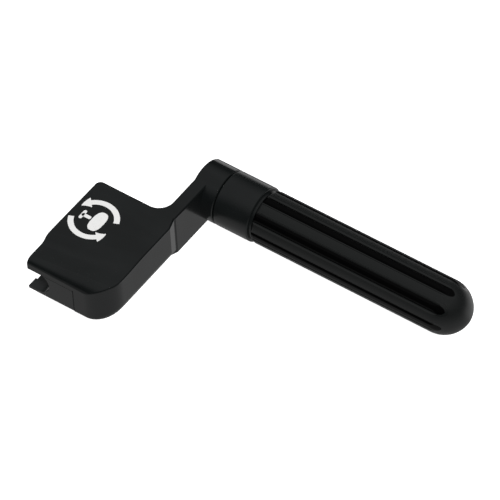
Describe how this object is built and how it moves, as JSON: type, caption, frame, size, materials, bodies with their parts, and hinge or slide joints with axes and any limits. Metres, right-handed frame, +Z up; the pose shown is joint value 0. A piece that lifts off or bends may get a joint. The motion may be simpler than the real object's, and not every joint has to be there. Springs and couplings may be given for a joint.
{
  "type": "string winder",
  "caption": "Hand crank for winding guitar strings: a cupped head that fits over a tuning peg, with a notch that pulls bridge pins, and a ribbed handle that spins on a steel pin.",
  "frame": {"origin": "middle of the whole part's box in X and Y, at its lowest point", "axes": "+X along the handle from the hub to the tip of the grip, +Y from the head to the hub, +Z up with the crank lying on its side, the head's mouth facing -X"},
  "size_m": [0.1072, 0.0594, 0.016],
  "materials": {
    "crank_plastic": "black moulded ABS, satin gloss",
    "puller_plastic": "black moulded ABS, satin gloss",
    "collar_plastic": "black moulded ABS, fine satin",
    "grip_plastic": "black moulded ABS, polished",
    "nylon": "natural nylon, turned",
    "pin_steel": "turned steel",
    "ring_steel": "oiled spring steel"
  },
  "bodies": {
    "crank": {"crank_body": "crank_plastic", "pin_puller_insert": "puller_plastic", "pivot_pin": "pin_steel", "thrust_washer": "nylon", "end_washer": "pin_steel", "retaining_ring": "ring_steel"},
    "handle": {"handle_collar": "collar_plastic", "front_bush": "nylon", "rear_bush": "nylon", "grip_shell": "grip_plastic"}
  },
  "joints": [
    {"name": "handle_spin", "type": "hinge", "parent": "crank", "child": "handle", "pos_m": [0, 0.02165, 0.008], "axis": [1, 0, 0], "continuous": true}
  ]
}
